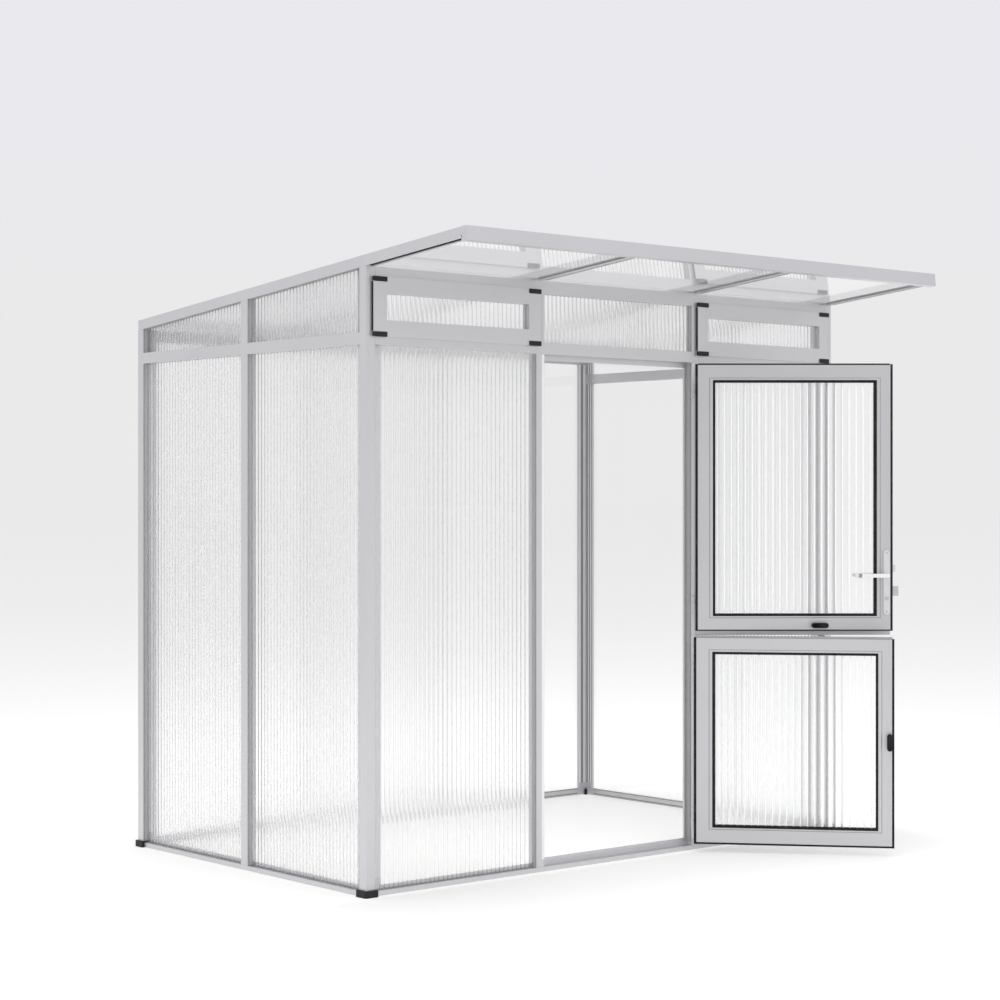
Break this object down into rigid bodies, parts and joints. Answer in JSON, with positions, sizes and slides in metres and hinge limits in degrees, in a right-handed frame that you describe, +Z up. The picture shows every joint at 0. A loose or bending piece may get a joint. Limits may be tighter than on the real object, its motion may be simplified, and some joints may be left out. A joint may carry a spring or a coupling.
{
  "type": "lean to greenhouse",
  "caption": "Lean to greenhouse with ribbed and clear sheet walls in a slim metal frame, a sloping clear roof with a canopy over the front, a door in two leaves and awning vents.",
  "frame": {"origin": "centre of the whole part's footprint box, on the ground", "axes": "+X along the front to the right as seen from outside the door, +Y from the door to the house wall, +Z up"},
  "size_m": [2.52, 2.209, 2.3473],
  "materials": {
    "aluminium": "satin anodised extrusions",
    "ribbed_sheet": "clear hollow sheet with upright ribs",
    "clear_glass": "clear and flat",
    "black_plastic": "moulded matt black",
    "satin_metal": "satin nickel",
    "bolt_steel": "plated steel"
  },
  "bodies": {
    "house": {"front_left_post": "aluminium", "front_right_post": "aluminium", "rear_left_post": "aluminium", "rear_right_post": "aluminium", "front_sill": "aluminium", "left_door_post": "aluminium", "right_door_post": "aluminium", "front_transom": "aluminium", "front_header": "aluminium", "rear_sill": "aluminium", "rear_post": "aluminium", "rear_eave_beam": "aluminium", "left_sill": "aluminium", "left_gable_post": "aluminium", "left_gable_transom": "aluminium", "right_sill": "aluminium", "right_gable_post": "aluminium", "right_gable_transom": "aluminium", "left_verge_rafter": "aluminium", "right_verge_rafter": "aluminium", "left_mid_rafter": "aluminium", "right_mid_rafter": "aluminium", "canopy_fascia": "aluminium", "upper_leaf_top_hinge": "aluminium", "upper_leaf_bottom_hinge": "aluminium", "lower_leaf_top_hinge": "aluminium", "lower_leaf_bottom_hinge": "aluminium", "front_left_foot": "black_plastic", "front_right_foot": "black_plastic", "rear_left_foot": "black_plastic", "rear_right_foot": "black_plastic", "front_left_sheet": "ribbed_sheet", "front_right_sheet": "ribbed_sheet", "over_door_sheet": "ribbed_sheet", "left_lower_front_sheet": "ribbed_sheet", "left_lower_rear_sheet": "ribbed_sheet", "left_upper_front_sheet": "ribbed_sheet", "left_upper_rear_sheet": "ribbed_sheet", "left_roof_pane": "clear_glass", "middle_roof_pane": "clear_glass", "right_roof_pane": "clear_glass", "rear_left_sheet": "clear_glass", "rear_right_sheet": "clear_glass", "right_lower_front_sheet": "clear_glass", "right_lower_rear_sheet": "clear_glass", "right_upper_front_sheet": "clear_glass", "right_upper_rear_sheet": "clear_glass"},
    "left_vent": {"left_vent_sash": "aluminium", "left_vent_pane": "ribbed_sheet"},
    "right_vent": {"right_vent_sash": "aluminium", "right_vent_pane": "ribbed_sheet"},
    "upper_leaf": {"upper_leaf_frame": "aluminium", "upper_leaf_sheet": "ribbed_sheet"},
    "lower_leaf": {"lower_leaf_frame": "aluminium", "lower_leaf_sheet": "ribbed_sheet"},
    "lever": {"lever_handle": "satin_metal"},
    "latch_bolt": {"latch_bolt": "bolt_steel"},
    "dead_bolt": {"dead_bolt": "bolt_steel"},
    "upper_knob": {"upper_turn_knob": "black_plastic"},
    "lower_knob": {"lower_turn_knob": "black_plastic"}
  },
  "joints": [
    {"name": "upper_leaf_hinge", "type": "hinge", "parent": "house", "child": "upper_leaf", "pos_m": [0.4, -0.46549, 1.432], "axis": [0, 0, 1], "range_deg": [-139.7, 30]},
    {"name": "lower_leaf_hinge", "type": "hinge", "parent": "house", "child": "lower_leaf", "pos_m": [0.4, -0.46549, 0.4535], "axis": [0, 0, 1], "range_deg": [-130.8, 39]},
    {"name": "lever_turn", "type": "hinge", "parent": "upper_leaf", "child": "lever", "pos_m": [0.97478, -0.98441, 1.115], "axis": [-0.6468, -0.7627, 0], "range_deg": [0, 40], "stiffness_Nm_per_rad": 1.2, "springref_deg": -14.32},
    {"name": "latch_slide", "type": "slide", "parent": "upper_leaf", "child": "latch_bolt", "axis": [-0.7627, 0.6468, 0], "range_m": [0, 0.018]},
    {"name": "dead_bolt_slide", "type": "slide", "parent": "upper_leaf", "child": "dead_bolt", "axis": [0.7627, -0.6468, 0], "range_m": [-0.03, 0]},
    {"name": "upper_knob_turn", "type": "hinge", "parent": "upper_leaf", "child": "upper_knob", "pos_m": [0.76886, -0.80978, 0.914], "axis": [-0.6468, -0.7627, 0], "range_deg": [0, 90]},
    {"name": "lower_knob_turn", "type": "hinge", "parent": "lower_leaf", "child": "lower_knob", "pos_m": [0.89215, -1.07238, 0.455], "axis": [-0.757, -0.6534, 0], "range_deg": [0, 90]},
    {"name": "left_vent_hinge", "type": "hinge", "parent": "house", "child": "left_vent", "pos_m": [-0.825, -0.45649, 2.22], "axis": [-1, 0, 0], "range_deg": [0, 45]},
    {"name": "right_vent_hinge", "type": "hinge", "parent": "house", "child": "right_vent", "pos_m": [0.825, -0.45649, 2.22], "axis": [-1, 0, 0], "range_deg": [0, 45]}
  ],
  "couplings": [
    {"joint": "latch_slide", "follows": "lever_turn", "m_per_rad": 0.025782}
  ]
}
